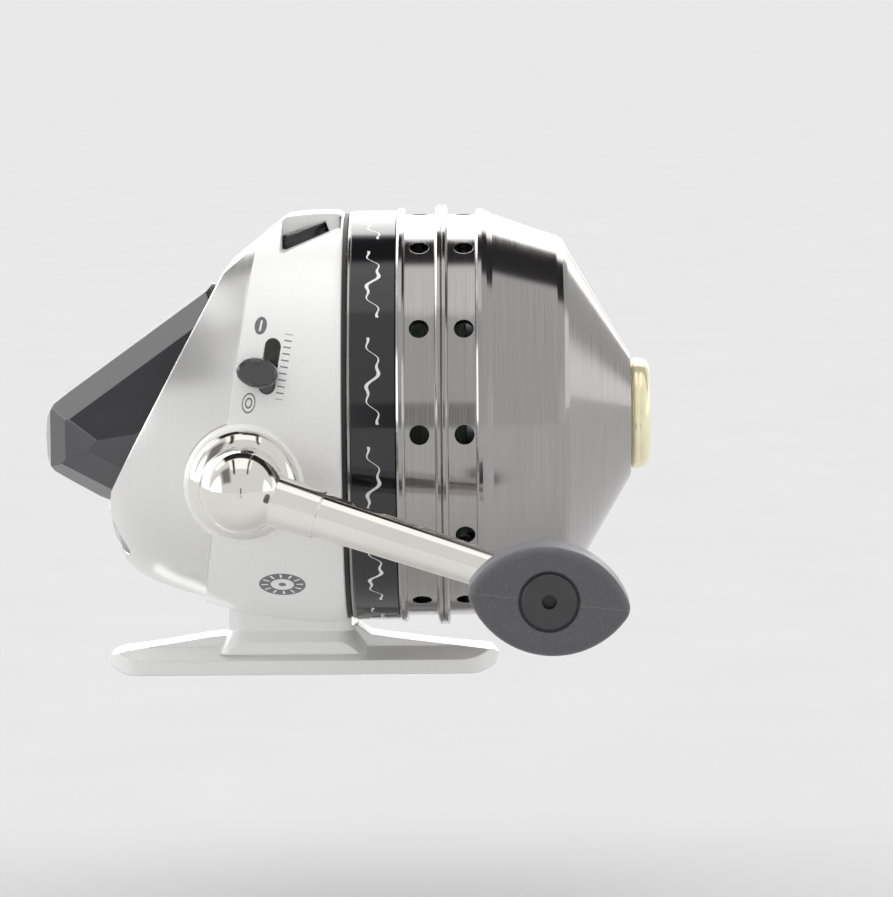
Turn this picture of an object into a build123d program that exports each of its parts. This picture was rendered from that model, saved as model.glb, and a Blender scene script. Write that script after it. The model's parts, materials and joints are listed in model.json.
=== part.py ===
from build123d import *
import os
from math import asin, atan2, cos, degrees, pi, radians, sin, sqrt, tan

os.makedirs("parts", exist_ok=True)

# ---------------------------------------------------------------- dimensions
# Millimetres. X runs from the thumb button to the line guide, the crank is on
# the -Y side, +Z is up. The origin is on the crown of the foot underside,
# halfway along the foot.

AXIS_Z = 40.0                      # height of the spool axis above the foot seat
CRANK_X = -7.5                     # crank axis, parallel to Y
CRANK_Z = 32.5

# front cover
SEAM_X = 8.4                       # rear edge of the front cover
COVER_BORE_R = 31.0
COVER_NOSE_X = 53.2
BAND_FROM_X = 8.9
BAND_TO_X = 16.1
BAND_R = 32.95
BAND_SEAT_R = 32.0
VENT_ROWS_X = (19.7, 26.7)
VENTS_PER_ROW = 12
VENT_R = 1.55

# line guide ring
GUIDE_BORE_R = 5.5
GUIDE_BARREL_R = 7.1
GUIDE_FLANGE_R = 8.9
GUIDE_FRONT_X = 56.3

# housing shell
HOUSING_FRONT_X = 8.0
HOUSING_WALL = 2.4
STEP_TOP = (-6.8, 62.8)            # parting line to the rear cover, seen from the side
STEP_BOTTOM = (-15.0, 10.7)
RIM_TOP = (-13.7, 59.6)            # plane of the rear cover rim, seen from the side
RIM_BOTTOM = (-30.6, 27.5)
RIM_DEPTH = 2.4
RAMP_LOW = (-14.4, 61.7)           # sloping top between button and bridge
RAMP_HIGH = (-2.3, 71.8)
NECK_R = 30.8                      # neck the front cover slides over
NECK_FRONT_X = 14.0
NECK_BORE_R = 29.6

# foot
FOOT_HALF_WIDTH = 6.25
FOOT_FLAT_HALF = 2.6
FOOT_SKIRT_Z = -1.3               # lower edges of the foot, below its crown
FOOT_LENGTH = 63.2
FOOT_MIDDLE_X = 0.25
STEM_HALF_WIDTH = 5.2
STEM_LENGTH = 20.9
STEM_MIDDLE_X = -1.35

# drag wheel under the bridge
WHEEL_CENTRE = (0.2, 68.6)
WHEEL_TILT = 20.0
WHEEL_R = 6.7
WHEEL_THICK = 2.4
BRIDGE_HALF = 4.7                  # half width of the bridge over the wheel
WINDOW_REAR_X = -2.2               # rear end of the side windows beside it

# crank
CRANK_SHAFT_R = 3.0
BOSS_R = 9.5
BOSS_FACE_Y = -33.2
CUP_R = 8.5
HUB_Y = -40.0
HUB_R = 6.7
KNOB_X = 39.3
KNOB_Z = 17.8
KNOB_FRONT_Y = -62.0
KNOB_BACK_Y = -51.0
KNOB_TILT = 7.0
ARM_END_Y = -47.0

# gears
FACE_TEETH = 36
PINION_TEETH = 10
MESH_R = 16.0                      # radius on the face gear where the pinion meets it
OFFSET = AXIS_Z - CRANK_Z
HELIX = asin(OFFSET / MESH_R)
PINION_PITCH_R = MESH_R * PINION_TEETH / FACE_TEETH / cos(HELIX)
MESH_X = CRANK_X + MESH_R * cos(HELIX)
PINION_TIP_R = PINION_PITCH_R + 0.70
PINION_ROOT_R = PINION_PITCH_R - 1.05
FACE_TIP_Y = -(PINION_PITCH_R - 0.70)
FACE_ROOT_Y = -(PINION_PITCH_R + 1.05)

# anti-reverse
RATCHET_TEETH = 16
RATCHET_R = 9.5
RATCHET_ROOT_R = 8.1
PAWL_Y = (-17.4, -15.8)
PAWL_PIVOT = (5.8, 39.5)
SLOT_CENTRE = (-3.4, 50.7)
SLOT_LENGTH = 8.5
SLOT_WIDTH = 2.5
SLOT_TILT = 9.0
SWITCH_CENTRE = (-3.73, 48.6)      # stem of the lever at the lower end of its slot
SWITCH_PIN = (-5.4, 45.9)          # pin of the lever that rests on the back of the pawl

# spool and shafts
DECK_REAR_X = 10.0
DECK_FRONT_X = 12.0
TUBE_R = 5.5
TUBE_FRONT_X = 30.4
PINION_SHANK_R = 3.0
SHAFT_R = 1.75
SPOOL_REAR_X = 14.6
SPOOL_FRONT_X = 29.0
SPOOL_REAR_R = 24.0
SPOOL_FRONT_R = 23.0
SPOOL_CORE_R = 9.5
HEAD_R = 22.5
PIN_REACH_R = 24.5

# thumb button
BUTTON_PIVOT = (-14.9, 57.6)
EAR_FROM = 8.0                     # inner face of the pivot ears
PIN_HALF = 13.0                    # half length of the pivot pin

TURN_START = -37.0                 # where the seam of a turned piece lies, degrees from +Y towards +Z
RUNNING = 0.05                     # radial gap of running fits

MAIN_AXIS = Axis((0, 0, AXIS_Z), (1, 0, 0))


# ------------------------------------------------------------------- helpers
def start_point(x, r):
    """Point of a turned outline, on the far lower side where no other feature crosses the seam."""
    return (x, r * cos(radians(TURN_START)), AXIS_Z + r * sin(radians(TURN_START)))


def turned(points):
    """Solid of revolution about the spool axis from (x, radius) points."""
    outline = Polyline(*[start_point(x, r) for x, r in points], close=True)
    return revolve(make_face(outline), axis=MAIN_AXIS, revolution_arc=360)


def turned_skin(curve):
    """Solid of revolution under a smooth (x, radius) curve."""
    skin = Spline(*[start_point(x, r) for x, r in curve])
    ends = Polyline(
        start_point(*curve[-1]), start_point(curve[-1][0], 0), start_point(curve[0][0], 0), start_point(*curve[0])
    )
    return revolve(make_face(skin + ends), axis=MAIN_AXIS, revolution_arc=360)


def slab(points, y_from, y_to):
    """Plate with an (x, z) outline between two values of y."""
    outline = Polyline(*[(x, y_from, z) for x, z in points], close=True)
    return extrude(make_face(outline), amount=y_to - y_from, dir=(0, 1, 0))


def along_x(points, x_from, x_to):
    """Bar with a (y, z) outline between two values of x."""
    outline = Polyline(*[(x_from, y, z) for y, z in points], close=True)
    return extrude(make_face(outline), amount=x_to - x_from, dir=(1, 0, 0))


def block(x, y, z):
    """Box from three (low, high) pairs."""
    size = Box(x[1] - x[0], y[1] - y[0], z[1] - z[0])
    return Pos((x[0] + x[1]) / 2, (y[0] + y[1]) / 2, (z[0] + z[1]) / 2) * size


def rod(start, direction, radius, length):
    """Cylinder from a start point along a direction."""
    seat = Plane(origin=start, z_dir=direction)
    return seat * Cylinder(radius, length, align=(Align.CENTER, Align.CENTER, Align.MIN))


def cone(start, direction, r_start, r_end, length):
    """Truncated cone from a start point along a direction."""
    seat = Plane(origin=start, z_dir=direction)
    return seat * Cone(r_start, r_end, length, align=(Align.CENTER, Align.CENTER, Align.MIN))


def x_rod(x_from, x_to, radius, y=0.0, z=AXIS_Z):
    """Cylinder along X, on the spool axis unless told otherwise."""
    return rod((x_from, y, z), (1, 0, 0), radius, x_to - x_from)


def y_rod(y_from, y_to, radius, x=CRANK_X, z=CRANK_Z):
    """Cylinder along Y, on the crank axis unless told otherwise."""
    return rod((x, y_from, z), (0, 1, 0), radius, y_to - y_from)


def coil(start, direction, mean_r, wire_r, turns, length):
    """Open coil spring of round wire."""
    path = Helix(pitch=length / turns, height=length, radius=mean_r)
    profile = Plane(origin=path @ 0, z_dir=path % 0) * Circle(wire_r)
    return Plane(origin=start, z_dir=direction) * sweep(profile, path=path)


def side_half(point_a, point_b, keep_right=True):
    """Big wedge on one side of a slanted line drawn in the side view."""
    ax, az = point_a
    bx, bz = point_b
    length = sqrt((bx - ax) ** 2 + (bz - az) ** 2)
    ux, uz = (bx - ax) / length, (bz - az) / length
    nx, nz = (-uz, ux) if keep_right else (uz, -ux)
    reach = 120.0
    corners = [
        (ax - ux * reach, az - uz * reach),
        (bx + ux * reach, bz + uz * reach),
        (bx + ux * reach + nx * reach, bz + uz * reach + nz * reach),
        (ax - ux * reach + nx * reach, az - uz * reach + nz * reach),
    ]
    return slab(corners, -60, 60)


def shifted(point, along, amount):
    """Point moved by an amount along a unit direction, in the side view."""
    return (point[0] + along[0] * amount, point[1] + along[1] * amount)


def turned_about(point, centre, angle):
    """Turn an (x, z) point about a centre by an angle in degrees."""
    c, s = cos(radians(angle)), sin(radians(angle))
    dx, dz = point[0] - centre[0], point[1] - centre[1]
    return (centre[0] + dx * c - dz * s, centre[1] + dx * s + dz * c)


def around_spool_axis(radius, angle):
    """(y, z) at a radius and an angle in degrees from +Y towards +Z."""
    return (radius * cos(radians(angle)), AXIS_Z + radius * sin(radians(angle)))


def write(name, solid):
    """Write one piece of the assembly."""
    solid.label = name
    export_step(solid, f"parts/{name}.step")


# ------------------------------------------------------- housing and its foot
DRUM_SKIN = [(-18.0, 28.9), (-12.0, 30.9), (-5.0, 32.3), (1.0, 33.0), (5.5, 33.2), (7.4, 32.8), (8.0, 32.2)]
REAR_SKIN = [(-31.2, 8.0), (-30.5, 14.5), (-29.3, 20.0), (-27.4, 23.7), (-24.0, 26.1), (-19.0, 28.0),
             (-12.0, 29.9), (-4.0, 31.2)]

drum = turned_skin(DRUM_SKIN)
drum_hollow = turned_skin([(x, r - HOUSING_WALL) for x, r in DRUM_SKIN])

ahead_of_step = side_half(STEP_BOTTOM, STEP_TOP, keep_right=False)
above_ramp = side_half(RAMP_LOW, RAMP_HIGH, keep_right=True)
ramp_dir = (cos(atan2(RAMP_HIGH[1] - RAMP_LOW[1], RAMP_HIGH[0] - RAMP_LOW[0])),
            sin(atan2(RAMP_HIGH[1] - RAMP_LOW[1], RAMP_HIGH[0] - RAMP_LOW[0])))
ramp_in = (ramp_dir[1], -ramp_dir[0])
above_inner_ramp = side_half(
    shifted(RAMP_LOW, ramp_in, HOUSING_WALL), shifted(RAMP_HIGH, ramp_in, HOUSING_WALL), keep_right=True
)

shell = drum & ahead_of_step
shell = shell - above_ramp
hollow = drum_hollow - above_inner_ramp

wheel_dir = (cos(radians(WHEEL_TILT)), sin(radians(WHEEL_TILT)))
wheel_up = (-wheel_dir[1], wheel_dir[0])


def wheel_point(along, up):
    """(x, z) of a point given along and above the tilted drag wheel plane."""
    x = WHEEL_CENTRE[0] + wheel_dir[0] * along + wheel_up[0] * up
    z = WHEEL_CENTRE[1] + wheel_dir[1] * along + wheel_up[1] * up
    return (x, z)


def wheel_rod(up_from, up_to, radius, along=0.0, y=0.0):
    """Cylinder parallel to the axis of the drag wheel."""
    x, z = wheel_point(along, up_from)
    seat = Plane(origin=(x, y, z), x_dir=(0, 1, 0), z_dir=(wheel_up[0], 0, wheel_up[1]))
    return seat * Cylinder(radius, up_to - up_from, align=(Align.CENTER, Align.CENTER, Align.MIN))


# the drag wheel lies on a floor block under the bridge
POCKET_UP = WHEEL_THICK / 2 + 0.25     # half height of the pocket the wheel turns in
POCKET_R = WHEEL_R + 0.3
wheel_floor = slab([(-9, 62.2), (7.3, 68.2), (7.3, 70.9), (-2.6, 66.9), (-9, 66.0)], -24, 24) & drum
hollow = hollow - slab([(-9, 62.2), (7.3, 68.2), (8.5, 68.6), (8.5, 82), (-9, 82)], -24, 24)

foot_outline = [
    (-30.7, FOOT_SKIRT_Z), (-31.3, 0.6), (-30.7, 1.8), (-28.7, 2.4), (-21.8, 3.4), (-14.5, 4.6),
    (9.0, 6.4), (11.2, 4.8), (15.2, 4.2), (22.2, 3.3), (30.8, 2.3), (31.8, 1.5), (31.2, -0.5),
    (30.2, FOOT_SKIRT_Z),
]
foot = slab(foot_outline, -FOOT_HALF_WIDTH, FOOT_HALF_WIDTH)
# the underside is hollowed between its two lower edges, with a flat crown in the middle
trough_half = FOOT_HALF_WIDTH - 0.5
foot -= along_x([(-trough_half, FOOT_SKIRT_Z), (-FOOT_FLAT_HALF, 0), (FOOT_FLAT_HALF, 0), (trough_half, FOOT_SKIRT_Z),
                 (8, -3), (-8, -3)], -40, 40)
# slanted shoulders along both upper edges
for side in (-1, 1):
    foot -= along_x([(side * FOOT_HALF_WIDTH, 1.0), (side * 3.4, 2.9), (side * 3.4, 12), (side * 9, 12), (side * 9, 1.0)],
                    -40, 40)
# the plan of the foot: both ends rounded
foot_plan = Pos(FOOT_MIDDLE_X, 0, 2) * extrude(SlotOverall(FOOT_LENGTH, 2 * FOOT_HALF_WIDTH), amount=20, both=True)
foot = foot & foot_plan
# the stem between foot and drum flares out towards the foot
stem_plan = RectangleRounded(STEM_LENGTH, 2 * STEM_HALF_WIDTH, 3.2)
stem = extrude(Pos(STEM_MIDDLE_X, 0, 1.0) * stem_plan, amount=9.5, dir=(0, 0, 1))
flare = extrude(Pos(STEM_MIDDLE_X, 0, 5.6) * stem_plan, amount=-3.6, taper=-32)
stem = stem + (flare & block((-20, 20), (-6.2, 6.2), (1, 6)))
stem -= block((HOUSING_FRONT_X, 20), (-20, 20), (6.5, 30))

BOSS_SEAM = 40                     # degrees: turns the boss so that its seam clears the drum's edges
boss = y_rod(BOSS_FACE_Y, -22, BOSS_R)
boss = fillet(boss.edges().filter_by(GeomType.CIRCLE).sort_by(Axis.Y)[0], 1.6)
boss = Pos(CRANK_X, 0, CRANK_Z) * Rot(0, BOSS_SEAM, 0) * Pos(-CRANK_X, 0, -CRANK_Z) * boss
far_boss = y_rod(22, 30.6, 7.5)

FRAME_SCREW_RING = 27.4
FRAME_SCREW_ANGLES = (35, 125, 230, 292)
frame_bosses = Part()
frame_pilots = Part()
for angle in FRAME_SCREW_ANGLES:
    by, bz = around_spool_axis(FRAME_SCREW_RING, angle)
    frame_bosses += x_rod(0, DECK_REAR_X, 3.3, by, bz)
    frame_pilots += x_rod(1.5, 11, 1.25, by, bz)

REAR_SCREW_Y = 11.9
REAR_SCREW_Z = 22.0
rear_bosses = Part()
rear_pilots = Part()
for side in (-1, 1):
    rear_bosses += x_rod(-14.4, -8, 3.0, side * REAR_SCREW_Y, REAR_SCREW_Z)
    rear_bosses += block((-11, -8), (side * REAR_SCREW_Y - 3, side * REAR_SCREW_Y + 3), (9, REAR_SCREW_Z))
    rear_pilots += x_rod(-16, -8.8, 1.25, side * REAR_SCREW_Y, REAR_SCREW_Z)

neck = turned([(6.0, 30.6), (8.0, 31.6), (8.0, NECK_R), (NECK_FRONT_X, NECK_R), (NECK_FRONT_X, NECK_BORE_R),
               (6.0, NECK_BORE_R)])

shaft_bracket = block((-16.0, -11.0), (-4.1, 20.0), (35.6, 44.4))
shaft_bracket += block((-16.0, -4.0), (14.0, 31.0), (36.0, 44.4)) & drum & ahead_of_step
pawl_post = y_rod(-30.4, -21.5, 2.6, *PAWL_PIVOT)

inside_drum = turned([(-1, 0), (11, 0), (11, 30.4), (-1, 31)])
housing = shell - hollow
housing = housing + neck + (wheel_floor & ahead_of_step) - above_ramp
housing = housing + (frame_bosses & inside_drum) + (rear_bosses & drum & ahead_of_step)
housing = housing + shaft_bracket + pawl_post + boss + far_boss + foot + stem
# bores
housing = housing - y_rod(BOSS_FACE_Y - 1, -20, 5.0) - y_rod(20, 29.2, 4.6) - y_rod(28, 34, 6.0)
housing = housing - frame_pilots - rear_pilots
housing = housing - x_rod(-17, -10, SHAFT_R + 0.12) - x_rod(-17, -13.4, 3.5)
housing = housing - rod((PAWL_PIVOT[0], -29.0, PAWL_PIVOT[1]), (0, 1, 0), 1.25, 12)
# slot of the anti-reverse switch
switch_dir = (sin(radians(SLOT_TILT)), 0, cos(radians(SLOT_TILT)))
slot_plane = Plane(origin=(SLOT_CENTRE[0], -22, SLOT_CENTRE[1]), x_dir=switch_dir, z_dir=(0, -1, 0))
housing = housing - slot_plane * extrude(SlotOverall(SLOT_LENGTH, SLOT_WIDTH), amount=14)
# pocket and side windows of the drag wheel
housing = housing - wheel_rod(-POCKET_UP, POCKET_UP, POCKET_R)
for side in (-1, 1):
    lo, hi = sorted((side * BRIDGE_HALF, side * 24))
    scallop = slab([(WINDOW_REAR_X, 67.4), (WINDOW_REAR_X + 0.6, 67.3), (7.3, 70.9), (7.3, 82), (WINDOW_REAR_X, 82)],
                   lo, hi)
    housing = housing - scallop
housing = housing - wheel_rod(-8, 0, 1.9)
# seat for the seam gasket
housing = housing - turned([(6.9, 31.9), (8.6, 31.9), (8.6, 34), (7.95, 34), (7.95, 32.6), (6.9, 32.6)])
write("main_housing", housing)


rim_length = sqrt((RIM_TOP[0] - RIM_BOTTOM[0]) ** 2 + (RIM_TOP[1] - RIM_BOTTOM[1]) ** 2)
rim_dir = ((RIM_TOP[0] - RIM_BOTTOM[0]) / rim_length, (RIM_TOP[1] - RIM_BOTTOM[1]) / rim_length)
rim_in = (rim_dir[1], -rim_dir[0])

# ------------------------------------------------------- outlines of the button
button_side = [
    (-14.2, 61.1), (-36.0, 45.4), (-38.6, 43.4), (-39.9, 41.0), (-40.2, 38.0), (-40.0, 34.8), (-38.6, 32.6),
    (-36.0, 31.0), (-31.4, 28.4), (-29.2, 27.6), (-12.5, 57.3),
]
button_inner = [
    (-16.6, 56.8), (-34.9, 43.6), (-37.0, 42.0), (-38.1, 40.2), (-38.3, 38.0), (-38.1, 35.6), (-37.2, 34.1),
    (-35.2, 33.0), (-31.0, 30.4), (-26.0, 28.6), (-8, 58.0),
]


def button_opening(grow, drop, reach):
    """Prism across the rim plane with the rounded outline of the button; drop lengthens its lower end."""
    half_outline = [(0.4 - drop, 0.0), (0.4 - drop, 11.0), (2.8 - drop, 15.5), (7.0 - drop / 2, 19.3), (13.0, 22.0),
                    (20.0, 23.0), (28.0, 22.2), (35.5, 20.3), (40.0, 18.4)]
    side_a = [(s, w + (grow if w > 0 else 0)) for s, w in half_outline]
    outline = side_a + [(s, -w) for s, w in reversed(side_a) if w > 0]
    plane = Plane(origin=(RIM_BOTTOM[0], 0, RIM_BOTTOM[1]), x_dir=(rim_dir[0], 0, rim_dir[1]),
                  z_dir=(rim_in[0], 0, rim_in[1]))
    face = plane * make_face(Polyline(*outline, close=True))
    return extrude(face, amount=reach, both=True)


def under_facets(inset):
    """Prism along the ramp: flat top, a narrow slanted strip and a tall flank on each side."""
    profile = [(12.5, 0), (17.0, -3.4), (24.5, -15.0), (24.5, -45)]
    profile = [(y - inset, z - inset) for y, z in profile]
    profile = [(-y, z) for y, z in reversed(profile)] + profile
    plane = Plane(origin=(RAMP_TOP[0], 0, RAMP_TOP[1]), x_dir=(0, 1, 0), z_dir=(-ramp_along[0], 0, -ramp_along[1]))
    turn = 1 if plane.y_dir.Z > 0 else -1
    face = plane * make_face(Polyline(*[(y, z * turn) for y, z in profile], close=True))
    return extrude(face, amount=60, both=True)


RAMP_TOP = button_side[0]
ramp_length = sqrt((RAMP_TOP[0] - button_side[1][0]) ** 2 + (RAMP_TOP[1] - button_side[1][1]) ** 2)
ramp_along = ((RAMP_TOP[0] - button_side[1][0]) / ramp_length, (RAMP_TOP[1] - button_side[1][1]) / ramp_length)


def button_plan(inset):
    """Upright prism with the outline of the button seen from above."""
    points = [(-5, -25), (-22, -24.5), (-31, -20.5), (-36.5, -16.5), (-39.2, -12.5), (-40.4, -7.5)]
    points += [(x, -y) for x, y in reversed(points)]
    outline = [(x + (inset if x < -36 else 0), y - inset * (1 if y > 0 else -1)) for x, y in points]
    return extrude(make_face(Polyline(*[(x, y, 20) for x, y in outline], close=True)), amount=50, dir=(0, 0, 1))


# ------------------------------------------------------------------ rear cover
rear_skin = turned_skin(REAR_SKIN)
rear_hollow = turned_skin([(-29.2, 7.0), (-28.4, 13.0), (-27.2, 18.3), (-25.6, 21.4), (-23.0, 23.5), (-18.6, 25.5),
                           (-12.0, 27.5), (-4.0, 28.8)])
behind_step = side_half(STEP_BOTTOM, STEP_TOP, keep_right=True)
behind_rim = side_half(RIM_BOTTOM, RIM_TOP, keep_right=True)
behind_rim_floor = side_half(shifted(RIM_BOTTOM, rim_in, RIM_DEPTH), shifted(RIM_TOP, rim_in, RIM_DEPTH))

rear_cover = (rear_skin & behind_step) - behind_rim - above_ramp
rear_cover = rear_cover - (rear_hollow - behind_rim_floor - above_inner_ramp)

# opening for the button, wider than the button all round
rear_cover = rear_cover - button_opening(0.45, 0.9, 9)
# two lugs under the ramp hold the pivot pin
for side in (-1, 1):
    low, high = sorted((side * (EAR_FROM + 2.6), side * (EAR_FROM + 5.0)))
    lug = rod((BUTTON_PIVOT[0], low, BUTTON_PIVOT[1]), (0, 1, 0), 2.0, high - low)
    lug += block((BUTTON_PIVOT[0], -8.0), (low, high), (BUTTON_PIVOT[1] - 2.0, BUTTON_PIVOT[1] + 1.6))
    rear_cover += lug & rear_skin & behind_step
rear_cover = rear_cover - y_rod(-40, -15, BOSS_R + 0.05) - y_rod(15, 40, 7.8)
rear_cover = rear_cover - wheel_rod(-POCKET_UP, POCKET_UP, POCKET_R + 0.1)
for side in (-1, 1):
    rear_cover += x_rod(-30.0, -14.6, 3.4, side * REAR_SCREW_Y, REAR_SCREW_Z) & rear_skin & behind_step
    rear_cover -= x_rod(-40, -22.6, 2.7, side * REAR_SCREW_Y, REAR_SCREW_Z)
    rear_cover -= x_rod(-40, -12, 1.35, side * REAR_SCREW_Y, REAR_SCREW_Z)
pin_bore_half = PIN_HALF + 0.1
rear_cover -= y_rod(-pin_bore_half, pin_bore_half, 1.02, *BUTTON_PIVOT)
rear_cover = rear_cover.solids().sort_by(SortBy.VOLUME)[-1]
write("rear_cover", Part() + rear_cover)

rear_screws = Part()
for side in (-1, 1):
    rear_screw = x_rod(-22.65, -9.2, 1.2, side * REAR_SCREW_Y, REAR_SCREW_Z)
    rear_screw += x_rod(-24.3, -22.6, 2.4, side * REAR_SCREW_Y, REAR_SCREW_Z)
    rear_screw -= x_rod(-24.4, -23.3, 0.9, side * REAR_SCREW_Y, REAR_SCREW_Z)
    rear_screws += rear_screw
write("rear_cover_screws", rear_screws)

gasket = turned([(6.95, 31.95), (8.3, 31.95), (8.3, 32.45), (7.9, 32.55), (6.95, 32.55)])
write("seam_gasket", gasket)

# ------------------------------------------------------------------ gear frame
deck = turned([(DECK_REAR_X, 0), (DECK_FRONT_X, 0), (DECK_FRONT_X, 29.4), (DECK_REAR_X, 29.4)])
tube = turned([(DECK_FRONT_X - 1, 0), (14.2, 0), (14.2, 8.2), (DECK_FRONT_X - 1, 8.2)])
tube += x_rod(12, TUBE_FRONT_X, TUBE_R)
arm = block((-2.0, 10.5), (7.2, 10.0), (35.0, 45.0)) + block((-2.0, 1.6), (-4.1, 10.0), (35.0, 45.0))
frame_part = deck + tube + arm
frame_part -= x_rod(9, 13.0, 6.5)
frame_part -= x_rod(-3, 40, PINION_SHANK_R + RUNNING)
frame_part -= x_rod(-2.5, 1.2, 3.9)
for angle in FRAME_SCREW_ANGLES:
    by, bz = around_spool_axis(FRAME_SCREW_RING, angle)
    frame_part -= x_rod(9, 13, 1.35, by, bz)
frame_part -= block((9, 13), (-3.6, 3.6), (53.0, 57.8))
frame_part -= turned([(29.2, TUBE_R - 0.6), (29.9, TUBE_R - 0.6), (29.9, TUBE_R + 1), (29.2, TUBE_R + 1)])
write("gear_frame", frame_part)

frame_screws = Part()
for angle in FRAME_SCREW_ANGLES:
    by, bz = around_spool_axis(FRAME_SCREW_RING, angle)
    frame_screw = x_rod(3.0, DECK_FRONT_X, 1.2, by, bz) + x_rod(DECK_FRONT_X, 13.3, 2.1, by, bz)
    frame_screw -= x_rod(12.7, 13.4, 0.9, by, bz)
    frame_screws += frame_screw
write("frame_screws", frame_screws)

write("pinion_rear_bush", turned([(-2.0, PINION_SHANK_R + RUNNING), (1.2, PINION_SHANK_R + RUNNING), (1.2, 3.9),
                                  (-2.0, 3.9)]))

# ball bearing of the pinion
outer_race = turned([(10.1, 5.5), (13.0, 5.5), (13.0, 6.5), (10.1, 6.5)])
inner_race = turned([(10.1, 3.0), (13.0, 3.0), (13.0, 4.0), (10.1, 4.0)])
BALL_COUNT = 10
BALL_RING_R = 4.75
BALL_X = 11.55
groove = revolve(Plane.XZ * Pos(BALL_X, AXIS_Z + BALL_RING_R) * Circle(0.98), axis=MAIN_AXIS, revolution_arc=360)
write("bearing_outer_race", outer_race - groove)
write("bearing_inner_race", inner_race - groove)
balls = Part()
for i in range(BALL_COUNT):
    balls += Pos(BALL_X, *around_spool_axis(BALL_RING_R, 360 * i / BALL_COUNT)) * Sphere(0.94)
write("bearing_balls", balls)

# --------------------------------------------------------------------- pinion
TEETH_FROM_X = 3.4
TEETH_TO_X = 9.6
twist_rate = -degrees(tan(HELIX) / PINION_PITCH_R)
pitch_deg = 360 / PINION_TEETH


def pinion_tooth(centre_deg, x):
    """Cross-section of one tooth, drawn in the y-z plane."""
    points = []
    for radius, half in ((PINION_ROOT_R - 0.3, 9.4), (PINION_PITCH_R, 6.0), (PINION_TIP_R, 3.3),
                         (PINION_TIP_R, -3.3), (PINION_PITCH_R, -6.0), (PINION_ROOT_R - 0.3, -9.4)):
        angle = radians(centre_deg + half)
        points.append((x, radius * cos(angle), AXIS_Z + radius * sin(angle)))
    return make_face(Polyline(*points, close=True))


pinion = x_rod(-1.9, 31.0, PINION_SHANK_R) + x_rod(TEETH_FROM_X, TEETH_TO_X, PINION_ROOT_R)
pinion += x_rod(1.75, 10.0, 3.8)
LOFT_STEPS = 4
for i in range(PINION_TEETH):
    sections = []
    for k in range(LOFT_STEPS + 1):
        x = TEETH_FROM_X + (TEETH_TO_X - TEETH_FROM_X) * k / LOFT_STEPS
        sections.append(pinion_tooth(180 + pitch_deg * (i + 0.5) + twist_rate * (x - MESH_X), x))
    pinion += loft(sections)
pinion -= x_rod(-3, 32, SHAFT_R + RUNNING + 0.03)
write("pinion", pinion)

# ------------------------------------------------------------------ drive gear
gear = y_rod(-8.4, FACE_ROOT_Y, MESH_R + 1.2) - y_rod(-9, -6, 13.6)
gear += y_rod(-8.4, -7.2, MESH_R) + y_rod(-13.0, -6.6, 5.6)
tooth_outline = [(-0.72, FACE_ROOT_Y - 0.2), (0.72, FACE_ROOT_Y - 0.2), (0.36, FACE_TIP_Y), (-0.36, FACE_TIP_Y)]
flat_tooth = extrude(
    make_face(Polyline(*[(MESH_R - 1.9, y, t) for t, y in tooth_outline], close=True)), amount=3.1, dir=(1, 0, 0))
for i in range(FACE_TEETH):
    angle = degrees(HELIX) + 360 / FACE_TEETH * i
    gear += Pos(CRANK_X, 0, CRANK_Z) * Rot(0, -angle, 0) * flat_tooth
gear -= y_rod(-14, -5, CRANK_SHAFT_R)
for i in range(6):
    a = radians(30 + 60 * i)
    gear -= y_rod(-9, -6, 2.2, CRANK_X + 9.8 * cos(a), CRANK_Z + 9.8 * sin(a))
write("drive_gear", gear)

ratchet_points = []
for i in range(RATCHET_TEETH):
    step = 2 * pi / RATCHET_TEETH
    a = step * i + radians(80)
    ratchet_points.append((CRANK_X + RATCHET_ROOT_R * cos(a), CRANK_Z + RATCHET_ROOT_R * sin(a)))
    ratchet_points.append((CRANK_X + RATCHET_R * cos(a + 0.12 * step), CRANK_Z + RATCHET_R * sin(a + 0.12 * step)))
    ratchet_points.append((CRANK_X + RATCHET_R * cos(a + 0.24 * step), CRANK_Z + RATCHET_R * sin(a + 0.24 * step)))
ratchet = slab(ratchet_points, PAWL_Y[0] + 0.1, PAWL_Y[1] - 0.1) + y_rod(PAWL_Y[1] - 0.1, -13.0, 5.0)
ratchet -= y_rod(-20, -12, CRANK_SHAFT_R)
write("ratchet_wheel", ratchet)

clip_groove = y_rod(-19.4, -18.8, 6) - y_rod(-19.4, -18.8, 2.4)
write("crank_shaft", y_rod(-39.6, 28.0, CRANK_SHAFT_R) - clip_groove)
crank_clip = y_rod(-19.35, -18.85, 5.0) - y_rod(-20, -18, 2.45)
write("shaft_clip", crank_clip - block((CRANK_X - 1.5, CRANK_X + 1.5), (-20, -18), (20, CRANK_Z)))
write("crank_bearing", y_rod(-32.2, -22.6, 5.0) - y_rod(-33, -22, CRANK_SHAFT_R + RUNNING))
write("crank_bush", y_rod(22.6, 29.0, 4.6) - y_rod(22, 30, CRANK_SHAFT_R + RUNNING))
cap = y_rod(29.3, 32.6, 5.9) + y_rod(31.2, 32.6, 7.6)
cap = fillet(cap.edges().filter_by(GeomType.CIRCLE).sort_by(Axis.Y)[-1], 1.0)
write("side_cap", cap)

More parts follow.
